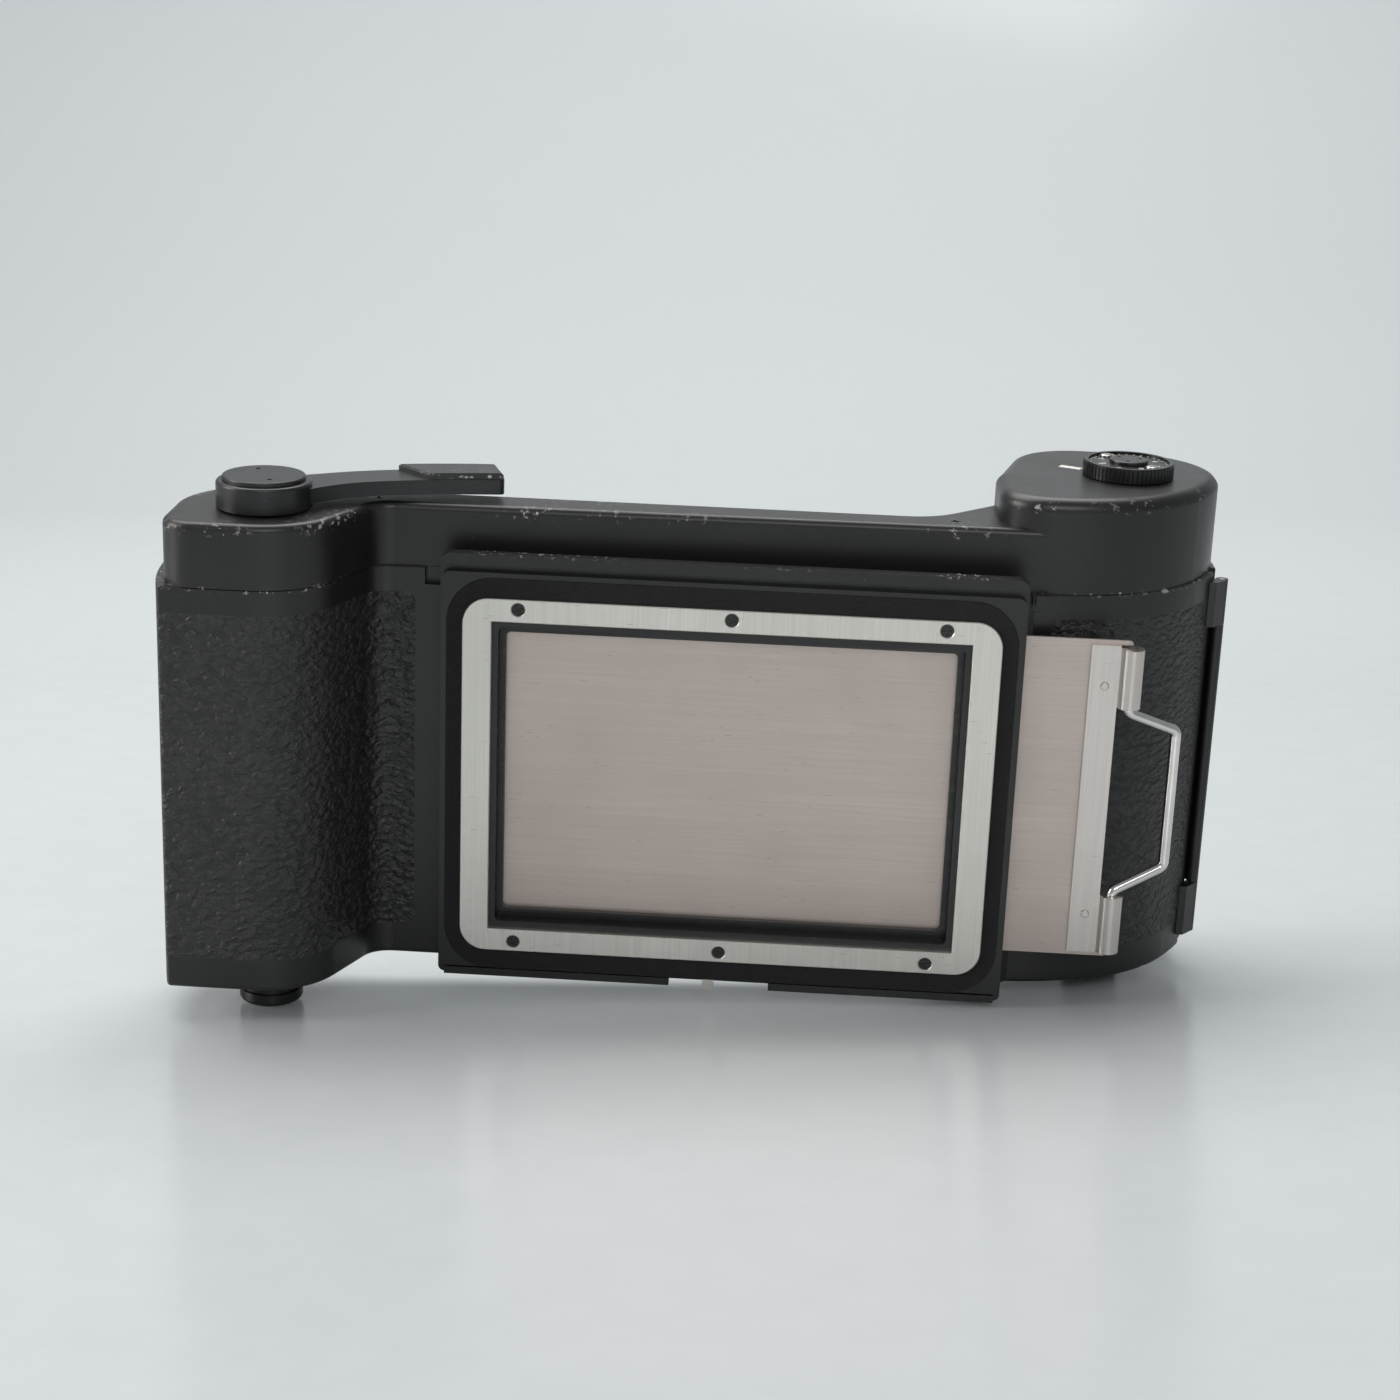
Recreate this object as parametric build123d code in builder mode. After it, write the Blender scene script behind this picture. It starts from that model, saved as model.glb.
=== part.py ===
from build123d import *
import os
from math import cos, radians, sin, tan

# Roll-film holder for 120 film with a 6 x 9 cm gate, in millimetres.
# +X runs along the holder towards the supply spool and the dark slide's handle,
# +Y runs from the camera side to the back door, +Z is up.
# All named places below are measured from the gate's centre, on the front
# plane of the aluminium mounting ring. The part's own origin is under the
# middle of the whole holder, so every piece is placed from one gate origin.

os.makedirs("parts", exist_ok=True)

gate_origin = (5.65, -21.7, 47.6)

# ---------------------------------------------------------------- dimensions
# spool axes in plan (x, y), and the 120 spool they hold
take_up_axis = (-87.5, 0.1)
supply_axis = (75.4, 34.5)
spool_radius = 12.55
spool_length = 65.6

# heights of the body casting, its chambers and the top cover
body_bottom = -40.4
body_top = 38.9
chamber_half = 33.6
cover_top = 51.0
lobe_top = 57.0
cover_side = 49.2
cover_wall = 1.6
mark_angle = 155

# body outline in plan
wall = 1.8
front_of_chamber = -14.6
front_of_recess = 7.75
back_plane = 18.2
left_side = -107.5
left_front_corner = -104.4
chamber_radius = take_up_axis[1] - front_of_chamber
right_side = 93.8
lobe_back = 58.2
lobe_side = 48.2
lobe_back_left = 54.8
lobe_side_front = 31.4
lobe_slope_start = 35.8
chamber_turn = 67

# back door
door_wall = 1.5
door_gap = 0.2
door_split_left = 9.1
door_start_right = 36.2
casting_end_right = 32.9
hinge_axis = (95.0, 34.5)
hinge_radius = 1.2
hinge_pin_radius = 0.55
hinge_half = 37.2
knuckle_top = 28.0
knuckle_bottom = -26.5

# mounting plate, ring and gate
plate_half = 54.5
plate_top = 40.3
plate_bottom = -41.3
plate_front = 0.6
flange_front = 2.2
plate_back = 4.0
flange_half = 54.9
flange_top = 43.6
plate_window = (87.6, 59.4)
seal_outer = (107.0, 78.6)
seal_corner = 8.8
seal_front = 0.35
seal_back = 1.6
ring_outer = (101.0, 70.9)
ring_inner = (90.0, 62.0)
ring_corner = 5.0
ring_thick = 1.2
ring_hole = 1.27
ring_hole_x = 40.0
ring_hole_z = 33.5
gate_size = (85.2, 56.2)
film_gate = (84.0, 56.0)
slot_front = 5.2
slot_back = 6.0
slot_half = 32.1

# dark slide
sheet_front = 5.3
sheet_back = 5.9
sheet_half = 31.9
sheet_left = -46.0
sheet_right = 75.3
strip_left = 67.4
strip_right = 72.9
strip_front = 4.6
curl_axis = (75.15, 4.75)
curl_radius = 2.15
bail_radius = 1.05
bail_clearance = 0.07
bail_tilt = 20.0

# leatherettes
leather_thick = 0.6
leather_half = 33.95
leather_end = 8.8

# film plane behind the gate
film_plane = 13.0
gate_wall_back = 12.4

# film rollers, counter drive and ratchet
guide_axis = (-56.6, 11.35)
guide_radius = 1.5
measuring_axis = (57.0, 15.2)
measuring_radius = 2.1
transfer_axis = (63.2, 20.9)
pawl_pivot = (-87.5, 12.3)
ratchet_radius = 7.6
counter_wheel_radius = 13.9
spring_seat = -39.2

# screws in the cover
cover_screws = ((-68.0, 11.6), (41.0, 14.6))
side_screw_height = 46.0

# hand controls
hub_radius = 8.85
lever_bottom = 52.2
hub_bottom = 51.4
lever_arm_top = 55.0
lever_hub_top = 56.3
lever_cap_top = 57.2
dial_axis = (74.8, 34.5)
dial_radius = 8.8
dial_bottom = 57.2
dial_top = 60.0
knob_radius = 6.15
take_up_knob_bottom = -47.6
supply_knob_bottom = -45.0
shaft_radius = 2.0
fit = 0.05


# ------------------------------------------------------------------- helpers
def plan(height):
    """Horizontal sketch plane through the gate origin at a height."""
    return Plane(origin=gate_origin).offset(height)


def elevation(depth):
    """Upright sketch plane facing the camera, at a depth behind the ring."""
    x, y, z = gate_origin
    return Plane(origin=(x, y + depth, z), x_dir=(1, 0, 0), z_dir=(0, -1, 0))


def side(across):
    """Upright sketch plane facing +X; its axes are depth and height."""
    x, y, z = gate_origin
    return Plane(origin=(x + across, y, z), x_dir=(0, 1, 0), z_dir=(1, 0, 0))


def save(piece, name):
    piece.part.label = name
    export_step(piece.part, f"parts/{name}.step")


def round_corner(sketch, corner, radius):
    """Round the sketch corner nearest to a point."""
    fillet(sketch.vertices().sort_by_distance((*corner, 0))[0], radius)


def disc(centre, radius):
    """Circle placed by its centre in the current sketch."""
    with Locations(centre):
        Circle(radius)


def box_face(x0, x1, y0, y1, mode=Mode.ADD):
    """Rectangle given by its limits in the current sketch."""
    with Locations(((x0 + x1) / 2, (y0 + y1) / 2)):
        Rectangle(x1 - x0, y1 - y0, mode=mode)


def body_face(sketch):
    """Plan outline of the body and door: forward take-up chamber on the left,
    flat middle, and the deep supply chamber behind the film on the right."""
    turn = chamber_turn
    ax, ay = take_up_axis
    end = (ax + chamber_radius * cos(radians(turn - 90)), ay + chamber_radius * sin(radians(turn - 90)))
    corner = (end[0] + (front_of_recess - end[1]) * tan(radians(90 - turn)), front_of_recess)
    with BuildLine() as outer:
        Line((left_front_corner, front_of_chamber), (ax, front_of_chamber))
        CenterArc(take_up_axis, chamber_radius, -90, turn)
        Line(end, corner)
        Polyline(corner, (54.8, front_of_recess), (56.6, 9.2))
        shoulder = TangentArc((56.6, 9.2), (70.8, 11.95), tangent=(1, 0.09))
        flank = TangentArc(shoulder @ 1, (88.5, 24.9), tangent=shoulder % 1)
        TangentArc(flank @ 1, (right_side, 34.6), tangent=flank % 1)
        Polyline(
            (right_side, 34.6), (right_side, lobe_back), (lobe_back_left, lobe_back),
            (lobe_side, lobe_side_front), (lobe_slope_start, back_plane),
            (left_side, back_plane), (left_side, 5.0),
        )
        ThreePointArc((left_side, 5.0), (-106.6, -5.5), (left_front_corner, front_of_chamber))
    make_face(outer.edges())
    round_corner(sketch, (left_front_corner, front_of_chamber), 0.9)
    round_corner(sketch, corner, 5.3)
    round_corner(sketch, (right_side, lobe_back), 18.0)
    round_corner(sketch, (lobe_back_left, lobe_back), 15.0)
    round_corner(sketch, (lobe_side, lobe_side_front), 9.0)
    round_corner(sketch, (lobe_slope_start, back_plane), 12.0)
    round_corner(sketch, (left_side, back_plane), 8.0)


def inset_body(sketch, inset):
    """The body outline moved inwards all round."""
    body_face(sketch)
    offset(amount=-inset, mode=Mode.REPLACE)


def back_region(right_split):
    """Everything behind the casting's rear edge in plan, where the door is."""
    with BuildLine() as region:
        Polyline(
            (-120, door_split_left), (-103, door_split_left), (-100, gate_wall_back),
            (54, gate_wall_back),
            (58, 16.0), (80, right_split), (110, right_split), (110, 80), (-120, 80), close=True,
        )
    make_face(region.edges())


def cover_face(sketch):
    """Plan outline of the top cover."""
    front = front_of_chamber - 0.2
    radius = take_up_axis[1] - front
    left = -104.3
    ax, ay = take_up_axis
    turn = chamber_turn
    end = (ax + radius * cos(radians(turn - 90)), ay + radius * sin(radians(turn - 90)))
    rise = front_of_recess + 0.6 - end[1]
    corner = (end[0] + rise * tan(radians(90 - turn)), end[1] + rise)
    with BuildLine() as outer:
        Line((left, front), (ax, front))
        CenterArc(take_up_axis, radius, -90, turn)
        Line(end, corner)
        Line(corner, (60.5, 10.3))
        shoulder = TangentArc((60.5, 10.3), (70.8, 12.0), tangent=(60.5 - corner[0], 10.3 - corner[1]))
        flank = TangentArc(shoulder @ 1, (87.6, 24.6), tangent=shoulder % 1)
        TangentArc(flank @ 1, (93.0, 38.0), tangent=flank % 1)
        Polyline(
            (93.0, 38.0), (93.0, 57.4), (55.6, 57.4), (cover_side, 31.0),
            (36.8, back_plane), (ax, back_plane),
        )
        TangentArc((ax, back_plane), (left, ay), tangent=(-1, 0))
        Line((left, ay), (left, front))
    make_face(outer.edges())
    round_corner(sketch, (left, front), 6.5)
    round_corner(sketch, corner, 5.0)
    round_corner(sketch, (93.0, 57.4), 17.2)
    round_corner(sketch, (55.6, 57.4), 14.5)
    round_corner(sketch, (cover_side, 31.0), 8.0)
    round_corner(sketch, (36.8, back_plane), 12.0)


def lobe_region():
    """Part of the plan that the raised right lobe of the cover stands on."""
    with BuildLine() as region:
        Polyline((cover_side, 0), (110, 0), (110, 80), (cover_side, 80), close=True)
    make_face(region.edges(), mode=Mode.INTERSECT)


# ------------------------------------------- shared solids, cut up further on
# the closed outside shape of casting and door together
with BuildPart() as envelope:
    with BuildSketch(plan(body_bottom)) as outline:
        body_face(outline)
    extrude(amount=body_top - body_bottom)
    fillet(envelope.faces().sort_by(Axis.Z)[0].edges(), 0.9)
    chamfer(envelope.faces().sort_by(Axis.Z)[-1].edges(), 0.25)

# the space inside the door's wall
with BuildPart() as door_core:
    with BuildSketch(plan(body_bottom - 1)) as outline:
        inset_body(outline, door_wall)
    extrude(amount=body_top - body_bottom + 2)

# the core of the casting that the door closes over
with BuildPart() as rear_core:
    with BuildSketch(plan(body_bottom - 1)) as outline:
        inset_body(outline, door_wall + door_gap)
    extrude(amount=body_top - body_bottom + 2)

# everything but the rear core, behind the casting's rear edge
with BuildPart() as rear_rim:
    with BuildSketch(plan(body_bottom - 1)):
        back_region(casting_end_right)
    extrude(amount=body_top - body_bottom + 2)
    add(rear_core.part, mode=Mode.SUBTRACT)

# the space inside the leatherettes
with BuildPart() as skin_core:
    with BuildSketch(plan(body_bottom - 2)) as outline:
        inset_body(outline, leather_thick)
    extrude(amount=body_top - body_bottom + 4)

# the space inside the casting's front walls, less the middle wall
with BuildPart() as chambers:
    with BuildSketch(plan(-chamber_half)) as outline:
        inset_body(outline, wall)
    extrude(amount=2 * chamber_half)
    with BuildSketch(plan(-chamber_half)):
        box_face(-54.0, 56.0, 0, gate_wall_back)
    extrude(amount=2 * chamber_half, mode=Mode.SUBTRACT)
    with BuildSketch(plan(-chamber_half)):
        back_region(casting_end_right)
    extrude(amount=2 * chamber_half)


# shallow pockets that the leatherettes fill, on both chambers and the door
with BuildPart() as left_pocket:
    with BuildSketch(elevation(leather_end)):
        with Locations((-90.5, 0)):
            RectangleRounded(60.0, 2 * leather_half, 2.0)
    extrude(amount=40)
    add(skin_core.part, mode=Mode.SUBTRACT)

with BuildPart() as right_pocket:
    with BuildSketch(elevation(30.8)):
        with Locations((90.1, 0)):
            RectangleRounded(60.0, 2 * leather_half, 2.0)
    extrude(amount=40)
    add(skin_core.part, mode=Mode.SUBTRACT)

with BuildPart() as door_pocket:
    with BuildSketch(elevation(back_plane + 2)):
        with Locations((-26.5, 0)):
            RectangleRounded(113.0, 2 * leather_half, 2.0)
    extrude(amount=6)
    add(skin_core.part, mode=Mode.SUBTRACT)

# -------------------------------------------------------------- body casting
with BuildPart() as body_casting:
    add(envelope.part)
    add(rear_rim.part, mode=Mode.SUBTRACT)
    add(chambers.part, mode=Mode.SUBTRACT)
    # film gate and the two raised film rails
    with BuildSketch(elevation(gate_wall_back + 1)):
        RectangleRounded(*film_gate, 1.0)
    extrude(amount=10, mode=Mode.SUBTRACT)
    for rail_side in (-1, 1):
        with BuildSketch(elevation(film_plane)):
            with Locations((0, rail_side * 29.6)):
                Rectangle(96, 1.6)
        extrude(amount=film_plane - gate_wall_back)
    # pockets for the two leatherettes
    for pocket in (left_pocket, right_pocket):
        add(pocket.part, mode=Mode.SUBTRACT)
        # small lug pockets beside the mounting plate, one each side
    for lug_x in (-57.0, 57.9):
        with BuildSketch(elevation(front_of_recess + 1.6)):
            with Locations((lug_x, body_top - 1.7)):
                Rectangle(3.4, 3.4)
        extrude(amount=3, mode=Mode.SUBTRACT)
        with BuildSketch(elevation(front_of_recess + 1.6)):
            with Locations((lug_x, body_top - 1.1)):
                Rectangle(2.4, 2.2)
        extrude(amount=1.0)
    # posts that carry the cover's screws and the ratchet pawl
    with BuildSketch(plan(body_top)):
        for post in cover_screws:
            disc(post, 1.6)
    extrude(amount=cover_top - cover_wall - body_top)
    with BuildSketch(plan(body_top)):
        disc(pawl_pivot, 1.0)
    extrude(amount=4.4)
    with BuildSketch(plan(body_top)):
        disc(transfer_axis, 1.0)
    extrude(amount=6.0)
    with BuildSketch(plan(cover_top - cover_wall)):
        for post in cover_screws:
            disc(post, 0.85)
    extrude(amount=-5.0, mode=Mode.SUBTRACT)
    # shaft holes through the plates, with spring pockets at the bottom
    with BuildSketch(plan(body_bottom - 1)):
        for axis in (take_up_axis, supply_axis):
            disc(axis, shaft_radius + fit)
    extrude(amount=8, mode=Mode.SUBTRACT)
    with BuildSketch(plan(spring_seat)):
        for axis in (take_up_axis, supply_axis):
            disc(axis, 3.8)
    extrude(amount=8, mode=Mode.SUBTRACT)
    with BuildSketch(plan(chamber_half - 1)):
        disc(take_up_axis, 4.0 + fit)
    extrude(amount=20, mode=Mode.SUBTRACT)
    # seats of the upper supply pivot and of the roller axles
    with BuildSketch(plan(chamber_half - 1)):
        disc(supply_axis, 2.5)
    extrude(amount=4, mode=Mode.SUBTRACT)
    with BuildSketch(plan(-36.5)):
        disc(guide_axis, 0.8 + fit)
        disc(measuring_axis, 0.8 + fit)
    extrude(amount=73.0, mode=Mode.SUBTRACT)
    with BuildSketch(plan(30)):
        disc(measuring_axis, 0.8 + fit)
    extrude(amount=20, mode=Mode.SUBTRACT)
    # outer hinge knuckles
    for z0, z1 in ((-hinge_half, knuckle_bottom - 0.15), (knuckle_top + 0.15, hinge_half)):
        with BuildSketch(plan(z0)) as knuckle:
            disc(hinge_axis, hinge_radius)
            Polygon((92.2, 31.0), (93.6, 31.0), (96.0, 33.9), (94.4, 35.2), (92.2, 32.9), align=None)
        extrude(amount=z1 - z0)
        with BuildSketch(plan(z0)):
            disc(hinge_axis, hinge_pin_radius)
        extrude(amount=z1 - z0, mode=Mode.SUBTRACT)
save(body_casting, "body_casting")

for name, pocket in (
    ("leather_left", left_pocket),
    ("leather_right", right_pocket),
    ("leather_door", door_pocket),
):
    leather = envelope.part & pocket.part
    leather.label = name
    export_step(leather, f"parts/{name}.step")

# ---------------------------------------------------------------- top cover
with BuildPart() as lobe:
    with BuildSketch(plan(body_top + 4)) as outline:
        cover_face(outline)
        lobe_region()
        round_corner(outline, (cover_side, 10.1), 9.5)
    extrude(amount=lobe_top - body_top - 4)
    fillet(lobe.faces().sort_by(Axis.Z)[-1].edges(), 2.4)

with BuildPart() as lobe_hollow:
    with BuildSketch(plan(body_top)) as outline:
        cover_face(outline)
        lobe_region()
        round_corner(outline, (cover_side, 10.1), 9.5)
        offset(amount=-cover_wall, mode=Mode.REPLACE)
    extrude(amount=lobe_top - cover_wall - body_top)

with BuildPart() as cover_hollow:
    with BuildSketch(plan(body_top)) as outline:
        cover_face(outline)
        offset(amount=-cover_wall, mode=Mode.REPLACE)
    extrude(amount=cover_top - cover_wall - body_top)

with BuildPart() as top_cover:
    with BuildSketch(plan(body_top)) as outline:
        cover_face(outline)
    extrude(amount=cover_top - body_top)
    fillet(top_cover.faces().sort_by(Axis.Z)[-1].edges(), 1.4)
    add(lobe.part)
    add(cover_hollow.part, mode=Mode.SUBTRACT)
    add(lobe_hollow.part, mode=Mode.SUBTRACT)
    # relief in the wall beside the measuring roller's pinion
    with BuildSketch(plan(body_top)):
        disc(measuring_axis, 4.0)
    extrude(amount=5, mode=Mode.SUBTRACT)
    with BuildSketch(plan(cover_top - 5)):
        disc(take_up_axis, 3.0 + fit)
        disc(dial_axis, 1.5 + fit)
        for screw in cover_screws:
            disc(screw, 0.85)
    extrude(amount=20, mode=Mode.SUBTRACT)
    for screw in cover_screws:
        with BuildSketch(plan(cover_top)):
            disc(screw, 1.75)
        extrude(amount=-1.0, taper=42, mode=Mode.SUBTRACT)
    with BuildSketch(side(-104.3)):
        disc((take_up_axis[1], side_screw_height), 0.8)
    extrude(amount=4, both=True, mode=Mode.SUBTRACT)
    with BuildSketch(plan(lobe_top - 0.1)):
        with Locations(Location((*dial_axis, 0), mark_angle)):
            with Locations((11.8, 0)):
                Rectangle(4.4, 1.9)
    extrude(amount=0.1, mode=Mode.SUBTRACT)
save(top_cover, "top_cover")

with BuildPart() as index_mark:
    with BuildSketch(plan(lobe_top - 0.1)):
        with Locations(Location((*dial_axis, 0), mark_angle)):
            with Locations((11.8, 0)):
                Rectangle(4.4, 1.9)
    extrude(amount=0.1)
save(index_mark, "index_mark")

# countersunk cross-head screws, flush with the cover
for name, place in zip(("cover_screw_left", "cover_screw_right"), cover_screws):
    with BuildPart() as screw:
        with BuildSketch(plan(cover_top)):
            disc(place, 1.73)
        extrude(amount=-1.0, taper=42)
        with BuildSketch(plan(cover_top - cover_wall - 3)):
            disc(place, 0.83)
        extrude(amount=cover_wall + 3)
        with BuildSketch(plan(cover_top - 0.5)):
            with Locations(Location((*place, 0), 20)):
                Rectangle(2.0, 0.45)
                Rectangle(0.45, 2.0)
        extrude(amount=1, mode=Mode.SUBTRACT)
    save(screw, name)

with BuildPart() as side_screw:
    with BuildSketch(side(-104.45)):
        disc((take_up_axis[1], side_screw_height), 1.6)
    extrude(amount=-0.6)
    fillet(side_screw.edges().sort_by(Axis.X)[0], 0.4)
    with BuildSketch(side(-104.45)):
        disc((take_up_axis[1], side_screw_height), 0.78)
    extrude(amount=3)
    with BuildSketch(side(-105.1)):
        with Locations((take_up_axis[1], side_screw_height)):
            Rectangle(4, 0.4)
    extrude(amount=0.4, mode=Mode.SUBTRACT)
save(side_screw, "side_screw")

# --------------------------------------- mounting plate, seal, ring and frame
with BuildPart() as mount_plate:
    # rear flange with the rail along its top edge
    with BuildSketch(elevation(plate_back)) as flange:
        box_face(-flange_half, flange_half, plate_bottom, flange_top)
        fillet(flange.vertices().group_by(Axis.Y)[-1], 2.0)
        fillet(flange.vertices().group_by(Axis.Y)[0], 1.2)
    extrude(amount=plate_back - flange_front)
    with BuildSketch(elevation(flange_front)) as rail:
        box_face(-flange_half, flange_half, flange_top - 2.1, flange_top)
        fillet(rail.vertices().group_by(Axis.Y)[-1], 2.0)
    extrude(amount=1.0)
    # front plate, and the split rail under it
    with BuildSketch(elevation(flange_front)) as front:
        box_face(-plate_half, plate_half, -39.3, plate_top)
        fillet(front.vertices().group_by(Axis.Y)[-1], 1.7)
    extrude(amount=flange_front - plate_front)
    with BuildSketch(elevation(flange_front)):
        box_face(-53.6, -9.5, plate_bottom, -39.8)
        box_face(9.9, 53.6, plate_bottom, -39.8)
    extrude(amount=1.2)
    with BuildSketch(elevation(plate_back)):
        box_face(-9.5, 9.9, plate_bottom - 1, -40.3)
    extrude(amount=4, mode=Mode.SUBTRACT)
    # seats for the ring and the seal, and the window
    with BuildSketch(elevation(seal_back)):
        RectangleRounded(seal_outer[0] + 0.1, seal_outer[1] + 0.1, seal_corner)
        RectangleRounded(ring_outer[0] - 0.4, ring_outer[1] - 0.4, ring_corner, mode=Mode.SUBTRACT)
    extrude(amount=3, mode=Mode.SUBTRACT)
    with BuildSketch(elevation(ring_thick)):
        RectangleRounded(ring_outer[0], ring_outer[1], ring_corner)
    extrude(amount=3, mode=Mode.SUBTRACT)
    with BuildSketch(elevation(plate_back)):
        RectangleRounded(*plate_window, 1.0)
        for x in (-ring_hole_x, 0, ring_hole_x):
            for z in (-ring_hole_z, ring_hole_z):
                disc((x, z), 0.8)
    extrude(amount=5, mode=Mode.SUBTRACT)
save(mount_plate, "mount_plate")

with BuildPart() as velvet_seal:
    with BuildSketch(elevation(seal_back)):
        RectangleRounded(*seal_outer, seal_corner)
        RectangleRounded(ring_outer[0] + 0.1, ring_outer[1] + 0.1, ring_corner, mode=Mode.SUBTRACT)
    extrude(amount=seal_back - seal_front)
save(velvet_seal, "velvet_seal")

with BuildPart() as aluminium_ring:
    with BuildSketch(elevation(ring_thick)):
        RectangleRounded(*ring_outer, ring_corner)
        Rectangle(*ring_inner, mode=Mode.SUBTRACT)
        for x in (-ring_hole_x, 0, ring_hole_x):
            for z in (-ring_hole_z, ring_hole_z):
                with Locations((x, z)):
                    Circle(ring_hole, mode=Mode.SUBTRACT)
    extrude(amount=ring_thick)
    chamfer(aluminium_ring.faces().sort_by(Axis.Y)[0].edges(), 0.15)
save(aluminium_ring, "aluminium_ring")

ring_row = 0
for z in (ring_hole_z, -ring_hole_z):
    for x in (-ring_hole_x, 0, ring_hole_x):
        ring_row += 1
        with BuildPart() as screw:
            with BuildSketch(elevation(ring_thick)):
                disc((x, z), ring_hole - 0.03)
            extrude(amount=0.7)
            with BuildSketch(elevation(plate_back)):
                disc((x, z), 0.75)
            extrude(amount=plate_back - ring_thick)
            with BuildSketch(elevation(0.75)):
                with Locations(Location((x, z, 0), 31 * ring_row)):
                    Rectangle(1.7, 0.35)
                    Rectangle(0.35, 1.7)
            extrude(amount=1, mode=Mode.SUBTRACT)
        save(screw, f"ring_screw_{ring_row}")

# frame behind the plate, with the window and the dark slide's slot
with BuildPart() as slide_frame:
    with BuildSketch(elevation(front_of_recess)):
        Rectangle(109.0, 80.2)
        RectangleRounded(*gate_size, 1.0, mode=Mode.SUBTRACT)
    extrude(amount=front_of_recess - plate_back)
    with BuildSketch(elevation(slot_back)):
        box_face(-47.0, 60.0, -slot_half, slot_half)
    extrude(amount=slot_back - slot_front, mode=Mode.SUBTRACT)
    with BuildSketch(elevation(slot_back + 0.8)):
        box_face(48.9, 53.1, -slot_half, slot_half)
    extrude(amount=slot_back - slot_front + 1.5, mode=Mode.SUBTRACT)
save(slide_frame, "slide_frame")

for name, y0, y1 in (("slot_pad_front", 4.5, 5.0), ("slot_pad_back", 6.2, 6.8)):
    with BuildPart() as pad:
        with BuildSketch(elevation(y1)):
            box_face(49.0, 53.0, -slot_half, slot_half)
        extrude(amount=y1 - y0)
    save(pad, name)

with BuildPart() as mount_catch:
    with BuildSketch(elevation(flange_front)):
        box_face(-3.0, -0.7, -42.0, -39.7)
    extrude(amount=1.1)
save(mount_catch, "mount_catch")

# ---------------------------------------------------------------- dark slide
lug_ends = ((19.0, 30.6), (-30.6, -19.0))
rivets = ((70.35, 23.05), (70.35, -23.05))

with BuildPart() as dark_slide:
    with BuildSketch(elevation(sheet_back)) as sheet:
        box_face(sheet_left, 75.2, -sheet_half, sheet_half)
        fillet(sheet.vertices(), 0.8)
        box_face(72.6, 80.0, -31.0, 31.0, mode=Mode.SUBTRACT)
        for place in rivets:
            with Locations(place):
                Circle(0.5, mode=Mode.SUBTRACT)
    extrude(amount=sheet_back - sheet_front)
save(dark_slide, "dark_slide")

with BuildPart() as slide_strip:
    with BuildSketch(elevation(sheet_front)):
        box_face(strip_left, strip_right, -31.0, 31.0)
    extrude(amount=sheet_front - strip_front)
    for z0, z1 in lug_ends:
        with BuildSketch(plan(z0)):
            disc(curl_axis, curl_radius)
            box_face(strip_right, curl_axis[0], strip_front, sheet_front)
        extrude(amount=z1 - z0)
        with BuildSketch(plan(z0)):
            disc(curl_axis, bail_radius + bail_clearance)
        extrude(amount=z1 - z0, mode=Mode.SUBTRACT)
    with BuildSketch(elevation(sheet_front)):
        for place in rivets:
            disc(place, 0.5)
    extrude(amount=2, mode=Mode.SUBTRACT)
save(slide_strip, "slide_strip")

for name, place in zip(("slide_rivet_top", "slide_rivet_bottom"), rivets):
    with BuildPart() as rivet:
        with BuildSketch(elevation(sheet_back)):
            disc(place, 0.5)
        extrude(amount=sheet_back - strip_front)
        with BuildSketch(elevation(strip_front)):
            disc(place, 0.8)
        extrude(amount=0.35)
        fillet(rivet.edges().sort_by(Axis.Y)[0], 0.25)
        with BuildSketch(elevation(sheet_back + 0.08)):
            disc(place, 0.75)
        extrude(amount=0.08)
    save(rivet, name)

# wire bail: its ends turn in the curled lugs
bail_reach = 10.45
gx, gy, gz = gate_origin
bail_plane = Plane(
    origin=(gx + curl_axis[0], gy + curl_axis[1], gz),
    x_dir=(cos(radians(bail_tilt)), sin(radians(bail_tilt)), 0),
    z_dir=(sin(radians(bail_tilt)), -cos(radians(bail_tilt)), 0),
)
with BuildPart() as slide_bail:
    with BuildLine(bail_plane) as wire:
        FilletPolyline(
            (0, 29.5), (0, 18.0), (bail_reach, 13.8), (bail_reach, -13.8), (0, -18.0), (0, -29.5),
            radius=1.6,
        )
    with BuildSketch(plan(29.5)):
        disc(curl_axis, bail_radius)
    sweep()
save(slide_bail, "slide_bail")

# ----------------------------------------------------------------- back door
with BuildPart() as back_door:
    add(envelope.part)
    with BuildSketch(plan(body_bottom - 1)):
        box_face(-130, 130, door_split_left + 0.2, 90)
    extrude(amount=body_top - body_bottom + 2, mode=Mode.INTERSECT)
    with BuildSketch(plan(body_bottom - 1)):
        with BuildLine() as front_edge:
            Polyline(
                (-60, 0), (-56, door_split_left + 0.2), (-52, 12.6), (54, 12.6), (59.8, 16.2),
                (80, door_start_right), (110, door_start_right), (110, -5), (-60, -5), close=True,
            )
        make_face()
    extrude(amount=body_top - body_bottom + 2, mode=Mode.SUBTRACT)
    add(door_core.part, mode=Mode.SUBTRACT)
    add(door_pocket.part, mode=Mode.SUBTRACT)
    # middle hinge knuckle
    with BuildSketch(plan(knuckle_bottom + 0.15)):
        disc(hinge_axis, hinge_radius)
        Polygon((92.3, 37.8), (93.8, 37.8), (96.0, 35.1), (94.4, 33.8), (92.3, 36.3), align=None)
    extrude(amount=knuckle_top - knuckle_bottom - 0.3)
    with BuildSketch(plan(body_bottom)):
        disc(hinge_axis, hinge_pin_radius + fit)
    extrude(amount=90, mode=Mode.SUBTRACT)
    # slot for the latch button
    with BuildSketch(elevation(back_plane + 1)):
        box_face(-93.7, -87.5, -3.2, 3.2)
    extrude(amount=5, mode=Mode.SUBTRACT)
save(back_door, "back_door")

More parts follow.
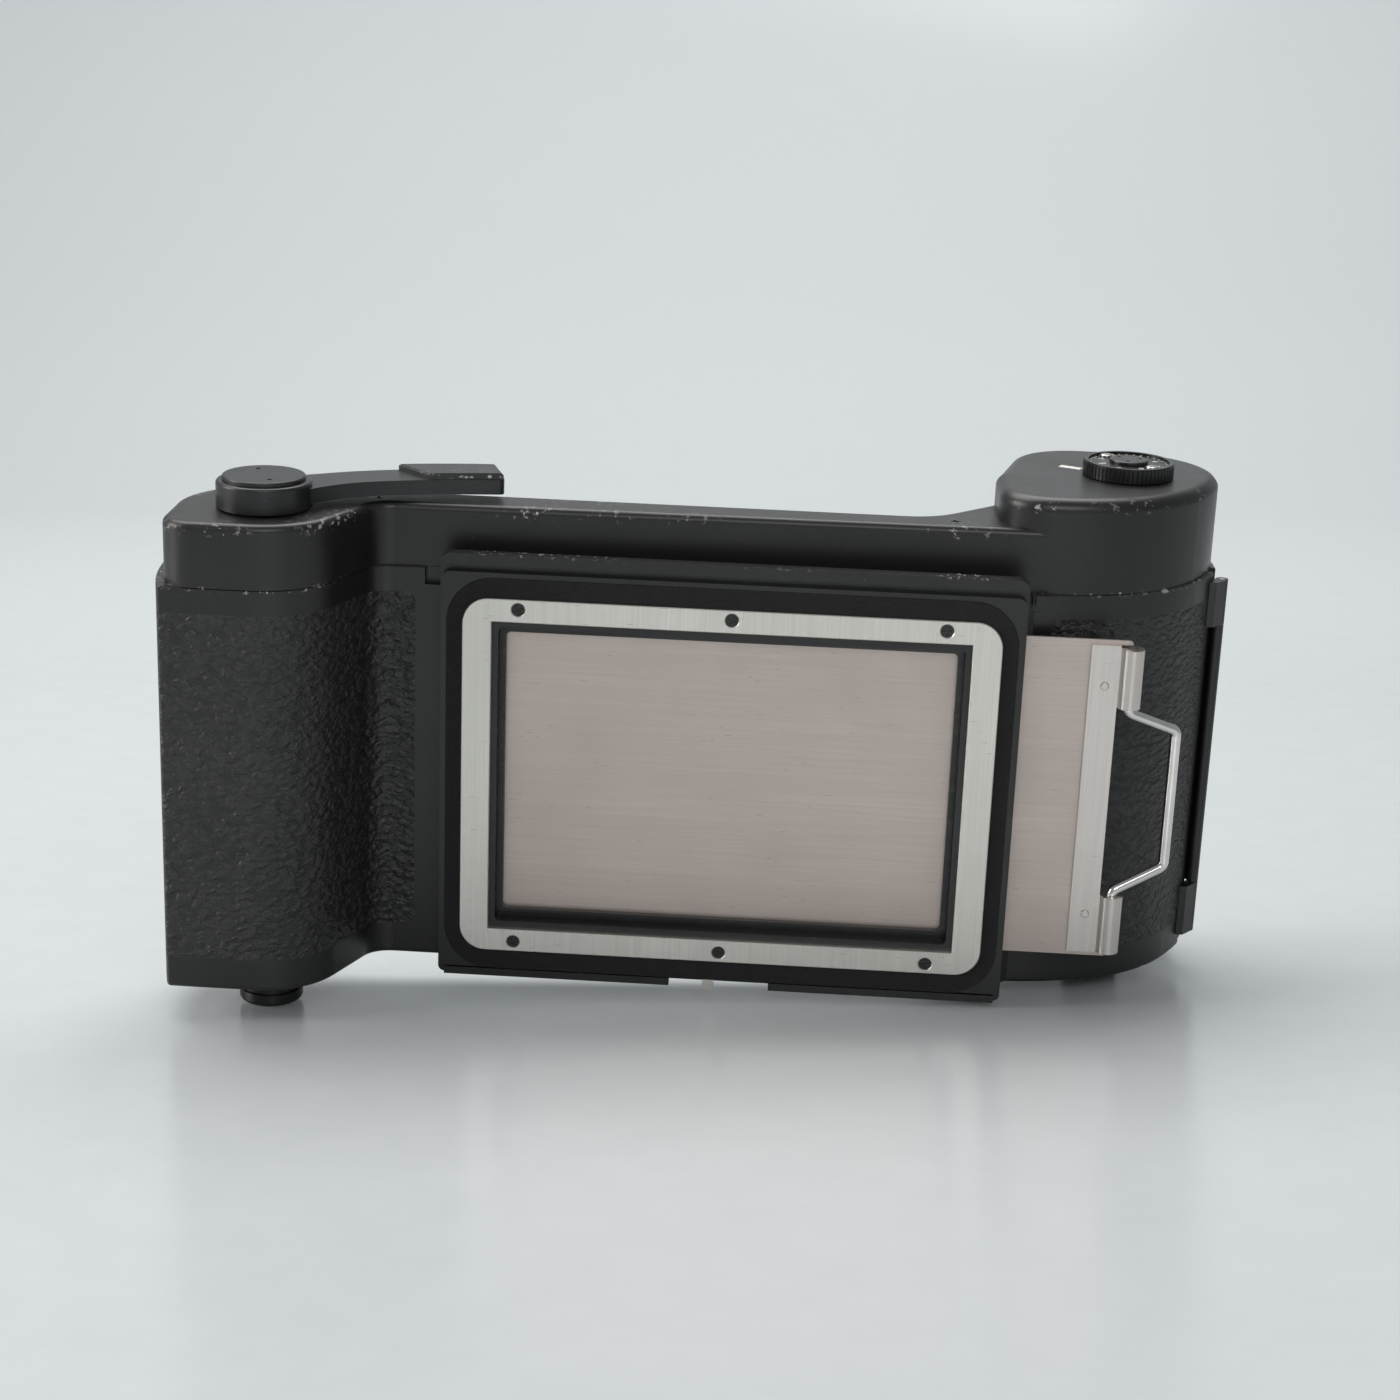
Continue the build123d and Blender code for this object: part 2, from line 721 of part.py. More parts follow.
with BuildPart() as hinge_pin:
    with BuildSketch(plan(-hinge_half)):
        disc(hinge_axis, hinge_pin_radius)
    extrude(amount=2 * hinge_half)
save(hinge_pin, "hinge_pin")

# pressure plate on two arched leaf springs
with BuildPart() as pressure_plate:
    with BuildSketch(elevation(14.4)):
        RectangleRounded(92, 62, 2)
    extrude(amount=1.0)
    chamfer(pressure_plate.faces().sort_by(Axis.Y)[0].edges(), 0.3)
save(pressure_plate, "pressure_plate")

inner_back = back_plane - door_wall
for name, x in (("leaf_spring_left", -26.0), ("leaf_spring_right", 26.0)):
    with BuildPart() as leaf:
        with BuildSketch(side(x)):
            with BuildLine():
                ThreePointArc((inner_back, -16), (inner_back - 1.5, 0), (inner_back, 16))
                Line((inner_back, 16), (inner_back, 15))
                ThreePointArc((inner_back, 15), (inner_back - 1.2, 0), (inner_back, -15))
                Line((inner_back, -15), (inner_back, -16))
            make_face()
        extrude(amount=4, both=True)
    save(leaf, name)

# latch: a hooked slide on the door catches a strike inside the left wall
with BuildPart() as door_latch:
    with BuildSketch(plan(-4.0)):
        Polygon(
            (-100.4, 12.4), (-97.4, 12.4), (-97.4, 15.4), (-86.5, 15.4), (-86.5, 16.1),
            (-98.2, 16.1), (-98.2, 13.2), (-100.4, 13.2), align=None,
        )
    extrude(amount=8.0)
    with BuildSketch(plan(-3.0)) as button:
        box_face(-93.5, -90.0, 16.1, 19.4)
    extrude(amount=6.0)
    fillet(door_latch.faces().sort_by(Axis.Y)[-1].edges(), 0.5)
save(door_latch, "door_latch")

with BuildPart() as latch_strike:
    with BuildSketch(plan(-3.0)):
        Polygon(
            (-105.7, 5.2), (-104.9, 5.2), (-104.9, 10.5), (-101.6, 13.4), (-98.6, 13.4),
            (-98.6, 14.2), (-101.9, 14.2), (-105.7, 10.8), align=None,
        )
    extrude(amount=6.0)
save(latch_strike, "latch_strike")

# ------------------------------------------------------- rollers and ratchet
with BuildPart() as guide_roller:
    with BuildSketch(plan(-32.8)):
        disc(guide_axis, guide_radius)
    extrude(amount=65.6)
    with BuildSketch(plan(-36.2)):
        disc(guide_axis, 0.8)
    extrude(amount=72.4)
save(guide_roller, "guide_roller")

with BuildPart() as measuring_roller:
    with BuildSketch(plan(-32.8)):
        disc(measuring_axis, measuring_radius)
    extrude(amount=65.6)
    for band in (-30.0, 26.0):
        with BuildSketch(plan(band)):
            disc(measuring_axis, measuring_radius)
            with Locations(measuring_axis):
                with PolarLocations(measuring_radius - 0.05, 24):
                    Circle(0.12, mode=Mode.SUBTRACT)
        extrude(amount=4)
    with BuildSketch(plan(-36.2)):
        disc(measuring_axis, 0.8)
    extrude(amount=79.7)
save(measuring_roller, "measuring_roller")


def toothed_wheel(centre, radius, teeth, depth):
    """Plan outline of a small toothed wheel."""
    disc(centre, radius)
    with Locations(centre):
        with PolarLocations(radius, teeth):
            Polygon(
                (0.01, 0), (-depth, 0.3 * depth), (-depth, -0.3 * depth),
                align=None, mode=Mode.SUBTRACT,
            )


with BuildPart() as counter_pinion:
    with BuildSketch(plan(40.6)):
        toothed_wheel(measuring_axis, 3.6, 12, 0.7)
        with Locations(measuring_axis):
            Circle(0.8, mode=Mode.SUBTRACT)
    extrude(amount=2.4)
save(counter_pinion, "counter_pinion")

with BuildPart() as transfer_gear:
    with BuildSketch(plan(40.4)):
        toothed_wheel(transfer_axis, 4.6, 16, 0.7)
        with Locations(transfer_axis):
            Circle(1.0 + fit, mode=Mode.SUBTRACT)
    extrude(amount=2.8)
save(transfer_gear, "transfer_gear")

with BuildPart() as counter_wheel:
    with BuildSketch(plan(40.6)):
        toothed_wheel(dial_axis, counter_wheel_radius - 0.9, 60, 0.8)
        with Locations(dial_axis):
            Circle(1.5, mode=Mode.SUBTRACT)
    extrude(amount=1.8)
save(counter_wheel, "counter_wheel")

with BuildPart() as counter_shaft:
    with BuildSketch(plan(39.1)):
        disc(dial_axis, 1.5)
    extrude(amount=dial_bottom + 1.6 - 39.1)
save(counter_shaft, "counter_shaft")

with BuildPart() as ratchet_wheel:
    with BuildSketch(plan(40.0)):
        toothed_wheel(take_up_axis, ratchet_radius, 18, 1.2)
        with Locations(take_up_axis):
            Circle(3.0, mode=Mode.SUBTRACT)
    extrude(amount=2.6)
save(ratchet_wheel, "ratchet_wheel")

with BuildPart() as ratchet_pawl:
    with BuildSketch(plan(40.2)):
        disc(pawl_pivot, 2.2)
        px, py = pawl_pivot
        Polygon(
            (px - 1.5, py + 1.2), (px - 6.4, py - 4.6), (px - 4.9, py - 6.2), (px + 0.8, py - 2.0),
            align=None,
        )
        with Locations(pawl_pivot):
            Circle(1.0 + fit, mode=Mode.SUBTRACT)
    extrude(amount=2.2)
save(ratchet_pawl, "ratchet_pawl")

# ------------------------------------------------- take-up shaft and wind lever
with BuildPart() as wind_shaft:
    with BuildSketch(plan(chamber_half)):
        disc(take_up_axis, 4.0)
    extrude(amount=body_top - chamber_half + 1.1)
    with BuildSketch(plan(body_top)):
        disc(take_up_axis, 3.0)
    extrude(amount=cover_top + 0.3 - body_top)
    with BuildSketch(plan(cover_top)):
        disc(take_up_axis, 2.0)
    extrude(amount=3.2)
    with BuildSketch(plan(29.6)):
        with Locations(Location((*take_up_axis, 0), 25)):
            RectangleRounded(9.4, 1.5, 0.3)
    extrude(amount=chamber_half - 29.6)
save(wind_shaft, "wind_shaft")

lever_front = ((-78.6, -0.9), (-72.3, 5.3), (-60.3, 10.3), (-44.3, 13.6))
lever_back = ((-46.9, 22.5), (-65.0, 18.5), (-77.5, 13.0), (-87.6, 9.15))
with BuildPart() as wind_lever:
    with BuildSketch(plan(lever_bottom)) as blade:
        with BuildLine():
            Line(take_up_axis, lever_front[0])
            Spline(lever_front, tangents=[(0.75, 1), (1, 0.16)])
            Line(lever_front[-1], lever_back[0])
            Spline(lever_back, tangents=[(-1, -0.16), (-1, -0.05)])
            Line(lever_back[-1], take_up_axis)
        make_face()
        fillet(blade.vertices().group_by(Axis.X)[-1], 1.2)
        fillet(blade.vertices().sort_by_distance((*lever_back[0], 0))[0], 1.6)
    extrude(amount=lever_arm_top - lever_bottom)
    # raised finger block at the end, behind a sloping step
    with BuildSketch(plan(lever_arm_top)) as finger:
        with BuildLine():
            Line((-65.4, 18.3), (-58.4, 11.0))
            Spline([(-58.4, 11.0), (-51.6, 12.6), (-44.7, 13.95)])
            Line((-44.7, 13.95), (-47.3, 22.0))
            Spline([(-47.3, 22.0), (-57.4, 20.4), (-65.4, 18.3)])
        make_face()
    extrude(amount=1.2)
    chamfer(wind_lever.faces().sort_by(Axis.Z)[-1].edges(), 0.35)
    with BuildSketch(plan(hub_bottom)):
        disc(take_up_axis, hub_radius)
    extrude(amount=lever_hub_top - hub_bottom)
    fillet(wind_lever.faces().sort_by(Axis.Z)[-1].edges().sort_by(SortBy.RADIUS)[-1], 0.6)
    with BuildSketch(plan(hub_bottom)):
        disc(take_up_axis, 2.0 + fit)
    extrude(amount=2.9, mode=Mode.SUBTRACT)
save(wind_lever, "wind_lever")

with BuildPart() as lever_cap:
    with BuildSketch(plan(lever_hub_top)):
        disc(take_up_axis, 7.7)
    extrude(amount=lever_cap_top - lever_hub_top)
    fillet(lever_cap.edges().sort_by(Axis.Z)[-1], 0.35)
    with BuildSketch(plan(lever_hub_top + 0.2)):
        with Locations(Location((*take_up_axis, 0), 115)):
            with Locations((4.6, 0), (-4.6, 0)):
                Circle(0.45)
    extrude(amount=2, mode=Mode.SUBTRACT)
save(lever_cap, "lever_cap")

# ------------------------------------------------------------ frame counter
with BuildPart() as counter_dial:
    with BuildSketch(plan(dial_bottom)):
        disc(dial_axis, dial_radius)
        with Locations(dial_axis):
            with PolarLocations(dial_radius, 64):
                Circle(0.19, mode=Mode.SUBTRACT)
    extrude(amount=dial_top - dial_bottom - 0.25)
    with BuildSketch(plan(dial_bottom)):
        disc(dial_axis, dial_radius - 0.3)
    extrude(amount=dial_top - dial_bottom)
    with BuildSketch(plan(dial_top - 0.45)):
        disc(dial_axis, dial_radius - 1.0)
    extrude(amount=1, mode=Mode.SUBTRACT)
    with BuildSketch(plan(dial_bottom)):
        disc(dial_axis, 1.5)
    extrude(amount=1.6, mode=Mode.SUBTRACT)
    with BuildSketch(plan(dial_top - 1.6)):
        with Locations(Location((*dial_axis, 0), 130)):
            with Locations((6.1, 0), (-6.1, 0)):
                Circle(0.5)
    extrude(amount=3, mode=Mode.SUBTRACT)
save(counter_dial, "counter_dial")

face_height = dial_top - 0.45
for name, turn in (("dial_screw_left", 130), ("dial_screw_right", 310)):
    with BuildPart() as screw:
        with BuildSketch(plan(face_height)):
            with Locations(Location((*dial_axis, 0), turn)):
                with Locations((6.1, 0)):
                    Circle(1.2)
        extrude(amount=0.5)
        fillet(screw.edges().sort_by(Axis.Z)[-1], 0.25)
        with BuildSketch(plan(face_height + 0.2)):
            with Locations(Location((*dial_axis, 0), turn)):
                with Locations(Location((6.1, 0, 0), 40)):
                    Rectangle(3, 0.35)
        extrude(amount=1, mode=Mode.SUBTRACT)
        with BuildSketch(plan(dial_top - 1.6)):
            with Locations(Location((*dial_axis, 0), turn)):
                with Locations((6.1, 0)):
                    Circle(0.5)
        extrude(amount=1.15)
    save(screw, name)

with BuildPart() as dial_cap:
    with BuildSketch(plan(face_height)):
        disc(dial_axis, 3.75)
    extrude(amount=0.75)
    fillet(dial_cap.edges().sort_by(Axis.Z)[-1], 0.3)
    with BuildSketch(plan(face_height + 0.5)):
        with Locations(Location((*dial_axis, 0), 20)):
            with PolarLocations(2.3, 3):
                Circle(0.35)
    extrude(amount=1, mode=Mode.SUBTRACT)
save(dial_cap, "dial_cap")

# ------------------------------------------------------------- spool supports
for name, axis, bottom, radius in (
    ("take_up_knob", take_up_axis, take_up_knob_bottom, knob_radius),
    ("supply_knob", supply_axis, supply_knob_bottom, knob_radius - 0.45),
):
    height = body_bottom - 0.5 - bottom
    with BuildPart() as knob:
        with BuildSketch(plan(bottom)):
            disc(axis, radius)
        extrude(amount=height)
        fillet(knob.edges().sort_by(Axis.Z)[0], 0.8)
        for groove in (0.36, 0.66):
            with BuildSketch(plan(bottom + groove * height)):
                disc(axis, radius + 1)
                with Locations(axis):
                    Circle(radius - 0.5, mode=Mode.SUBTRACT)
            extrude(amount=0.6, mode=Mode.SUBTRACT)
        with BuildSketch(plan(body_bottom - 0.5)):
            disc(axis, shaft_radius)
        extrude(amount=-30.2 - body_bottom + 0.5)
        with BuildSketch(plan(-34.9)):
            disc(axis, 3.6)
        extrude(amount=1.0)
    save(knob, name)

for name, axis in (("take_up_spring", take_up_axis), ("supply_spring", supply_axis)):
    with BuildPart() as spring:
        with BuildLine(plan(spring_seat + 0.25)) as coil:
            Helix(pitch=1.2, height=3.6, radius=3.0, center=(*axis, 0))
        start = coil.edges()[0]
        with BuildSketch(Plane(origin=start @ 0, z_dir=start % 0)):
            Circle(0.22)
        sweep()
    save(spring, name)

with BuildPart() as supply_pivot:
    with BuildSketch(plan(30.4)):
        disc(supply_axis, 2.5)
    extrude(amount=chamber_half + 3 - 30.4)
    fillet(supply_pivot.edges().sort_by(Axis.Z)[0], 0.8)
save(supply_pivot, "supply_pivot")
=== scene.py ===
import math

import bpy
from mathutils import Matrix, Vector


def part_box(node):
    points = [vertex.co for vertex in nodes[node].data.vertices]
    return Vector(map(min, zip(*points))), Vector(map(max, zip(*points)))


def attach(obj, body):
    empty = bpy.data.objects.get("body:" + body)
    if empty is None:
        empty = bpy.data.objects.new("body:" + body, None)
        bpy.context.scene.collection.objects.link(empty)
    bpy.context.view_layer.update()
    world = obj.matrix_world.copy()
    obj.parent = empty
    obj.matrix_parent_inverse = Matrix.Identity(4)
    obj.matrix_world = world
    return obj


# ------------------------------------------------------------------ the frame
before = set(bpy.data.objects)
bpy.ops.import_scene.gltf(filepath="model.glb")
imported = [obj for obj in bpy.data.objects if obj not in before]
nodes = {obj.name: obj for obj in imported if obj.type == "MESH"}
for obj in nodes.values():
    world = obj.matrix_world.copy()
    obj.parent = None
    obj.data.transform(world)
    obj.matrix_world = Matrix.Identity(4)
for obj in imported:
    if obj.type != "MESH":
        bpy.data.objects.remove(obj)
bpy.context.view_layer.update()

MM = 0.001

# the gate's centre on the ring's front, and the middle of the dial's top
ring_low, ring_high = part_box("aluminium_ring")
GATE = Vector(((ring_low.x + ring_high.x) / 2, ring_low.y, (ring_low.z + ring_high.z) / 2))
dial_low, dial_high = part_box("counter_dial")
DIAL = Vector(((dial_low.x + dial_high.x) / 2, (dial_low.y + dial_high.y) / 2, dial_high.z))

# heights of the edges that hands and cameras have worn
LOBE_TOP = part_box("top_cover")[1].z
BRIDGE_TOP = GATE.z + 51.0 * MM
BODY_TOP = GATE.z + 38.9 * MM
PLATE_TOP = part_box("mount_plate")[1].z
LEVER_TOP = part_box("wind_lever")[1].z
DOOR_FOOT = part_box("body_casting")[0].z


def at_gate(x, y, z):
    """A place given in millimetres from the ring's centre, in the row frame."""
    return GATE + Vector((x, y, z)) * MM


# ------------------------------------------------------------- material tools
class Shader:
    """Short names for building one node material."""

    def __init__(self, name):
        self.material = bpy.data.materials.new(name)
        self.material.use_nodes = True
        self.tree = self.material.node_tree
        self.bsdf = self.tree.nodes["Principled BSDF"]
        self.coord = self.node("ShaderNodeTexCoord").outputs["Object"]

    def node(self, kind, **settings):
        made = self.tree.nodes.new(kind)
        for key, value in settings.items():
            setattr(made, key, value)
        return made

    def link(self, source, target):
        self.tree.links.new(source, target)

    def stretched(self, x, y, z):
        """Object coordinates scaled apart on each axis, for grain with a direction."""
        mapping = self.node("ShaderNodeMapping")
        mapping.inputs["Scale"].default_value = (x, y, z)
        self.link(self.coord, mapping.inputs["Vector"])
        return mapping.outputs["Vector"]

    def noise(self, scale, detail=4.0, roughness=0.55, vector=None, distortion=0.0):
        made = self.node("ShaderNodeTexNoise")
        made.inputs["Scale"].default_value = scale
        made.inputs["Detail"].default_value = detail
        made.inputs["Roughness"].default_value = roughness
        made.inputs["Distortion"].default_value = distortion
        self.link(self.coord if vector is None else vector, made.inputs["Vector"])
        return made.outputs["Fac"]

    def cells(self, scale, feature="F1", vector=None):
        made = self.node("ShaderNodeTexVoronoi", feature=feature)
        made.inputs["Scale"].default_value = scale
        self.link(self.coord if vector is None else vector, made.inputs["Vector"])
        return made.outputs["Distance"]

    def ramp(self, value, low, high, start=0.0, end=1.0):
        made = self.node("ShaderNodeMapRange")
        made.inputs["From Min"].default_value = low
        made.inputs["From Max"].default_value = high
        made.inputs["To Min"].default_value = start
        made.inputs["To Max"].default_value = end
        self.link(value, made.inputs["Value"])
        return made.outputs["Result"]

    def math(self, operation, a, b):
        made = self.node("ShaderNodeMath", operation=operation)
        for socket, value in zip(made.inputs, (a, b)):
            if isinstance(value, (int, float)):
                socket.default_value = value
            else:
                self.link(value, socket)
        return made.outputs["Value"]

    def mix(self, factor, first, second):
        made = self.node("ShaderNodeMix", data_type="RGBA")
        sockets = (made.inputs[key] for key in ("Factor", "A", "B"))
        for socket, value in zip(sockets, (factor, first, second)):
            if isinstance(value, tuple):
                socket.default_value = (*value, 1.0)
            elif isinstance(value, (int, float)):
                socket.default_value = value
            else:
                self.link(value, socket)
        return made.outputs["Result"]

    def axis(self, name):
        made = self.node("ShaderNodeSeparateXYZ")
        self.link(self.coord, made.inputs["Vector"])
        return made.outputs[name]

    def bump(self, height, strength, distance, after=None):
        made = self.node("ShaderNodeBump")
        made.inputs["Strength"].default_value = strength
        made.inputs["Distance"].default_value = distance
        self.link(height, made.inputs["Height"])
        if after is not None:
            self.link(after, made.inputs["Normal"])
        return made.outputs["Normal"]

    def scratches(self, angles, length=5.0, width=0.05, density=0.10):
        """Short straight scratches: cells stretched along a line, a few of them marked.
        length and width are in millimetres, density is the share of cells that carry one."""
        total = None
        for order, angle in enumerate(angles):
            mapping = self.node("ShaderNodeMapping")
            mapping.inputs["Rotation"].default_value = (0, math.radians(angle), 0.3 * order)
            mapping.inputs["Scale"].default_value = (
                1 / (length * 2 * MM), 1 / (width * 14 * MM), 1 / (width * 14 * MM))
            mapping.inputs["Location"].default_value = (3.1 * order, 1.7 * order, 0.9 * order)
            self.link(self.coord, mapping.inputs["Vector"])
            cell = self.node("ShaderNodeTexVoronoi", feature="F1")
            cell.inputs["Scale"].default_value = 1.0
            self.link(mapping.outputs["Vector"], cell.inputs["Vector"])
            pick = self.node("ShaderNodeSeparateColor")
            self.link(cell.outputs["Color"], pick.inputs["Color"])
            chosen = self.ramp(pick.outputs["Red"], density, density * 0.8)
            line = self.ramp(cell.outputs["Distance"], 0.16, 0.05)
            mark = self.math("MULTIPLY", chosen, line)
            total = mark if total is None else self.math("MAXIMUM", total, mark)
        return total

    def set(self, **values):
        names = {
            "color": "Base Color", "roughness": "Roughness", "metallic": "Metallic",
            "normal": "Normal", "sheen": "Sheen Weight", "sheen_roughness": "Sheen Roughness",
            "specular": "Specular IOR Level", "aniso": "Anisotropic",
        }
        for key, value in values.items():
            socket = self.bsdf.inputs[names[key]]
            if isinstance(value, tuple):
                socket.default_value = (*value, 1.0)
            elif isinstance(value, (int, float)):
                socket.default_value = value
            else:
                self.link(value, socket)
        return self.material


# ----------------------------------------------------------------- materials
def enamel(name, worn_edges=(), tint=(0.0075, 0.0072, 0.0070), rough=0.36):
    """Satin brown-black enamel with handling marks, chipped bright along worn edges:
    each is a height and a half width in metres."""
    s = Shader(name)
    cloud = s.noise(38.0, 5.0, 0.6)
    fine = s.noise(2600.0, 3.0, 0.6)
    colour = s.mix(s.ramp(cloud, 0.35, 0.7), tint, tuple(1.55 * c for c in tint))
    marks = s.scratches((12, 70, 130), 3.0, 0.04, 0.07)
    colour = s.mix(s.math("MULTIPLY", marks, 0.25), colour, (0.10, 0.097, 0.09))
    dust = s.ramp(s.cells(620.0), 0.06, 0.04)
    dust = s.math("MULTIPLY", dust, s.ramp(s.noise(70.0, 2.0), 0.56, 0.64))
    colour = s.mix(s.math("MULTIPLY", dust, 0.5), colour, (0.35, 0.34, 0.32))
    metal = 0.0
    height = s.axis("Z")
    for order, (level, half) in enumerate(worn_edges):
        away_from = s.math("ABSOLUTE", s.math("SUBTRACT", height, level), 0.0)
        band = s.ramp(away_from, 0.25 * half, half, 1.0, 0.0)
        chips = s.ramp(s.noise(900.0, 4.0, 0.6), 0.59, 0.63)
        patches = s.ramp(s.noise(45.0 + 9.0 * order, 2.0, 0.5), 0.50, 0.62)
        chipped = s.math("MULTIPLY", s.math("MULTIPLY", band, chips), patches)
        colour = s.mix(chipped, colour, (0.50, 0.48, 0.44))
        metal = s.math("MAXIMUM", metal, s.math("MULTIPLY", chipped, 0.6))
    gloss = s.ramp(cloud, 0.3, 0.75, rough + 0.06, rough - 0.05)
    gloss = s.math("ADD", gloss, s.math("MULTIPLY", marks, 0.12))
    normal = s.bump(fine, 0.20, 0.00005)
    normal = s.bump(s.noise(900.0, 2.0), 0.14, 0.00009, normal)
    return s.set(color=colour, roughness=gloss, metallic=metal, normal=normal, specular=0.55)


def leatherette(name):
    """Embossed black leatherette: pebbled grain in creases, with painted shade in the valleys."""
    s = Shader(name)
    bend = s.node("ShaderNodeTexNoise")
    bend.inputs["Scale"].default_value = 380.0
    bend.inputs["Detail"].default_value = 3.0
    s.link(s.coord, bend.inputs["Vector"])
    push = s.node("ShaderNodeVectorMath", operation="MULTIPLY_ADD")
    push.inputs[1].default_value = (0.0022, 0.0022, 0.0022)
    s.link(bend.outputs["Color"], push.inputs[0])
    s.link(s.coord, push.inputs[2])
    lean = s.node("ShaderNodeMapping")
    lean.inputs["Rotation"].default_value = (0, math.radians(-24), 0)
    lean.inputs["Scale"].default_value = (560.0, 620.0, 1000.0)
    s.link(push.outputs["Vector"], lean.inputs["Vector"])
    pebbles = s.cells(1.0, "SMOOTH_F1", lean.outputs["Vector"])
    small = s.cells(2.3, "F1", lean.outputs["Vector"])
    height = s.math("ADD", s.ramp(pebbles, 0.05, 0.62, 1.0, 0.0), s.math("MULTIPLY", small, -0.35))
    height = s.math("ADD", height, s.math("MULTIPLY", s.noise(2600.0, 3.0, 0.6), 0.16))
    # painted shade: the grain's valleys are coloured darker than its tops
    painted_valley_shade = s.ramp(pebbles, 0.35, 0.7)
    colour = s.mix(painted_valley_shade, (0.020, 0.0195, 0.019), (0.006, 0.006, 0.006))
    worn = s.ramp(s.noise(24.0, 4.0, 0.6), 0.45, 0.75)
    colour = s.mix(s.math("MULTIPLY", worn, 0.3), colour, (0.026, 0.025, 0.024))
    return s.set(
        color=colour, roughness=s.ramp(worn, 0.0, 1.0, 0.46, 0.38),
        normal=s.bump(height, 1.0, 0.00042), specular=0.55,
    )


def velvet(name):
    """Flocked black velvet with lint caught in the pile and painted glints on its fibres."""
    s = Shader(name)
    pile = s.noise(3600.0, 4.0, 0.85)
    combed = s.noise(260.0, 4.0, 0.7, distortion=0.4)
    # the lighter specks of the pile are partly painted glints on the fibres and partly fibre tone
    colour = s.mix(s.ramp(pile, 0.42, 0.75), (0.003, 0.003, 0.003), (0.022, 0.021, 0.020))
    colour = s.mix(s.math("MULTIPLY", s.ramp(combed, 0.45, 0.75), 0.6), colour, (0.010, 0.010, 0.010))
    lint = s.ramp(s.cells(1500.0), 0.16, 0.08)
    lint = s.math("MULTIPLY", lint, s.ramp(s.noise(120.0, 3.0), 0.58, 0.66))
    colour = s.mix(s.math("MULTIPLY", lint, 0.35), colour, (0.30, 0.29, 0.27))
    normal = s.bump(pile, 1.0, 0.0005, s.bump(combed, 0.8, 0.0006))
    return s.set(
        color=colour, roughness=0.55, normal=normal, sheen=0.08, sheen_roughness=0.4, specular=0.35,
    )


def brushed(name, tint, rough, along, stain, metallic=0.95, scratch=0.06):
    """Metal brushed along one axis, with stains and a few deeper scratches."""
    s = Shader(name)
    scale = {"X": (40.0, 2600.0, 2600.0), "Z": (2600.0, 2600.0, 40.0)}[along]
    grain = s.noise(1.0, 3.0, 0.6, s.stretched(*scale))
    coarse = s.noise(1.0, 2.0, 0.5, s.stretched(*(0.22 * v for v in scale)))
    cloud = s.noise(34.0, 5.0, 0.65, distortion=0.3)
    streak = s.noise(1.0, 4.0, 0.6, s.stretched(*(0.035 * v for v in scale)))
    dark = tuple(0.90 * c for c in tint)
    light = tuple(min(1.0, 1.06 * c) for c in tint)
    colour = s.mix(s.ramp(grain, 0.3, 0.7), dark, light)
    streaked = s.math("MULTIPLY", s.ramp(streak, 0.35, 0.75), stain)
    colour = s.mix(streaked, colour, tuple(0.80 * c for c in tint))
    stained = s.math("MULTIPLY", s.ramp(cloud, 0.40, 0.72), stain)
    colour = s.mix(stained, colour, tuple(0.86 * c for c in tint))
    marks = s.scratches((8, -35, 62, 110), 2.6, 0.035, scratch)
    colour = s.mix(s.math("MULTIPLY", marks, 0.6), colour, tuple(0.30 * c for c in tint))
    gloss = s.ramp(grain, 0.25, 0.75, rough - 0.03, rough + 0.04)
    gloss = s.math("ADD", gloss, s.ramp(cloud, 0.4, 0.8, 0.0, 0.06))
    normal = s.bump(s.math("ADD", grain, s.math("MULTIPLY", coarse, 0.6)), 0.12, 0.00003)
    normal = s.bump(marks, -0.3, 0.00004, normal)
    return s.set(color=colour, roughness=gloss, metallic=metallic, normal=normal, aniso=0.2)


def bright_metal(name, tint, rough):
    """Plated or turned metal, handled and slightly pitted."""
    s = Shader(name)
    cloud = s.noise(160.0, 4.0, 0.6)
    pits = s.ramp(s.cells(1500.0), 0.12, 0.05)
    pits = s.math("MULTIPLY", pits, s.ramp(s.noise(220.0, 2.0), 0.62, 0.70))
    dull = s.math("MULTIPLY", s.ramp(cloud, 0.4, 0.75), 0.35)
    colour = s.mix(dull, tint, tuple(0.6 * c for c in tint))
    colour = s.mix(s.math("MULTIPLY", pits, 0.7), colour, tuple(0.5 * c for c in tint))
    marks = s.scratches((15, 80), 2.0, 0.03, 0.08)
    gloss = s.ramp(cloud, 0.3, 0.8, rough - 0.03, rough + 0.10)
    gloss = s.math("ADD", gloss, s.math("MULTIPLY", marks, 0.2))
    return s.set(color=colour, roughness=gloss, metallic=1.0, normal=s.bump(marks, 0.15, 0.00003))


def blackened(name, rough, tint):
    """Blackened steel with faint milling lines."""
    s = Shader(name)
    lines = s.noise(1.0, 2.0, 0.5, s.stretched(30.0, 2400.0, 900.0))
    cloud = s.noise(120.0, 4.0, 0.6)
    colour = s.mix(s.ramp(cloud, 0.4, 0.7), tint, tuple(2.2 * c for c in tint))
    gloss = s.ramp(lines, 0.3, 0.7, rough - 0.05, rough + 0.12)
    return s.set(color=colour, roughness=gloss, normal=s.bump(lines, 0.2, 0.00004), specular=0.6)


def white_fill(name):
    """Slightly yellowed paint filled into engraved marks."""
    s = Shader(name)
    cloud = s.noise(1800.0, 3.0, 0.6)
    colour = s.mix(s.ramp(cloud, 0.4, 0.7), (0.80, 0.79, 0.74), (0.55, 0.54, 0.50))
    return s.set(color=colour, roughness=0.55, normal=s.bump(cloud, 0.3, 0.00003))


